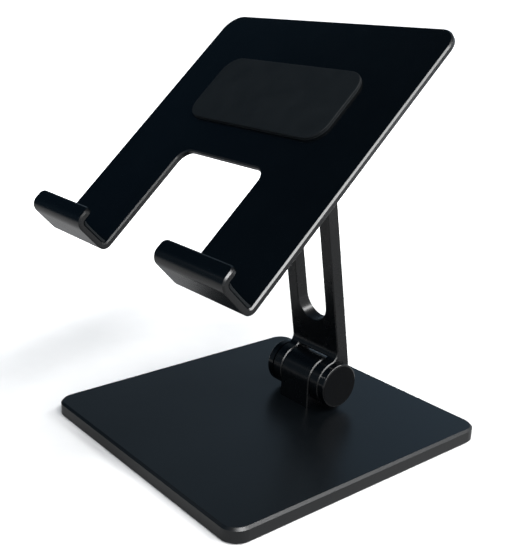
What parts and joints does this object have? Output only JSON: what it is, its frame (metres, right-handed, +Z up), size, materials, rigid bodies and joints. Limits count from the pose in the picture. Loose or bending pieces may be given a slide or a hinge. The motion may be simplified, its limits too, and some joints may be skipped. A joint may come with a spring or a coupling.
{
  "type": "tablet stand",
  "caption": "Desktop tablet stand with a flat weighted base, a slotted arm on friction hinges and a notched tray with padded hooks.",
  "frame": {"origin": "centre of the base at desk level, on the underside of the mat", "axes": "+Z up, -Y the front where the hooks are, +X to the user's right, both hinge axes along X"},
  "size_m": [0.15, 0.1618, 0.1972],
  "materials": {
    "base_metal": "satin dark grey",
    "tray_metal": "satin black anodised with bright cut edges",
    "hinge_metal": "semi-gloss black",
    "cap_plastic": "gloss black",
    "silicone": "matte dark grey",
    "steel": "turned",
    "friction": "dull"
  },
  "bodies": {
    "base": {"base_plate": "base_metal", "base_mat": "silicone", "lower_hinge_block": "hinge_metal", "lower_block_screws": "steel", "lower_hinge_bolt": "steel", "lower_friction_washers": "friction", "lower_spring_washers": "steel", "lower_lock_nut": "steel"},
    "arm": {"arm": "hinge_metal", "lower_cap_left": "cap_plastic", "lower_cap_right": "cap_plastic", "upper_cap_left": "cap_plastic", "upper_cap_right": "cap_plastic"},
    "tray": {"tray": "tray_metal", "tray_pad": "silicone", "hook_pad_left": "silicone", "hook_pad_right": "silicone", "upper_hinge_block": "hinge_metal", "upper_block_screws": "steel", "upper_hinge_bolt": "steel", "upper_friction_washers": "friction", "upper_spring_washers": "steel", "upper_lock_nut": "steel"}
  },
  "joints": [
    {"name": "arm_tilt", "type": "hinge", "parent": "base", "child": "arm", "pos_m": [0, 0.0316, 0.0209], "axis": [1, 0, 0], "range_deg": [-80, 35]},
    {"name": "tray_tilt", "type": "hinge", "parent": "arm", "child": "tray", "pos_m": [0, 0.0098, 0.15261], "axis": [1, 0, 0], "range_deg": [-120, 55]}
  ]
}
